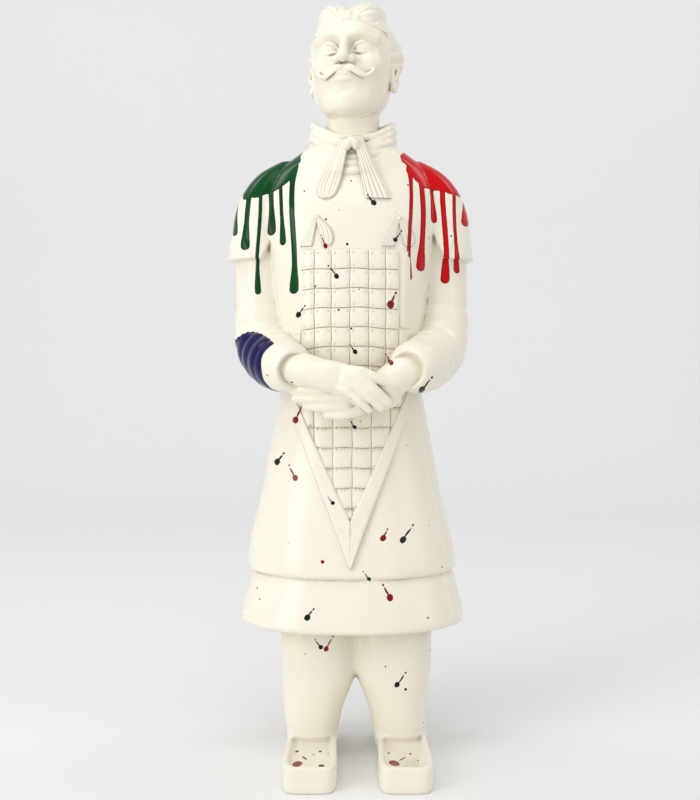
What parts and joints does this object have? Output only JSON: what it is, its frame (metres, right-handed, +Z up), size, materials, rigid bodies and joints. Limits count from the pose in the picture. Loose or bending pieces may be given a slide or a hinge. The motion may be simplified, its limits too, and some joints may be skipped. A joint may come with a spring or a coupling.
{
  "type": "terracotta warrior statue",
  "caption": "Standing ancient officer in plate armour and a two-layer robe, hands crossed in front, cast in one piece for decoration.",
  "frame": {"origin": "on the ground, at the middle of the statue's outline seen from above", "axes": "+Z up, the statue faces -Y, so its own left side is towards +X"},
  "size_m": [0.2444, 0.1876, 0.74],
  "materials": {
    "lacquer": "high gloss ivory lacquer with poured and splashed paint"
  },
  "bodies": {
    "root": {"warrior_statue": "lacquer"}
  },
  "joints": []
}
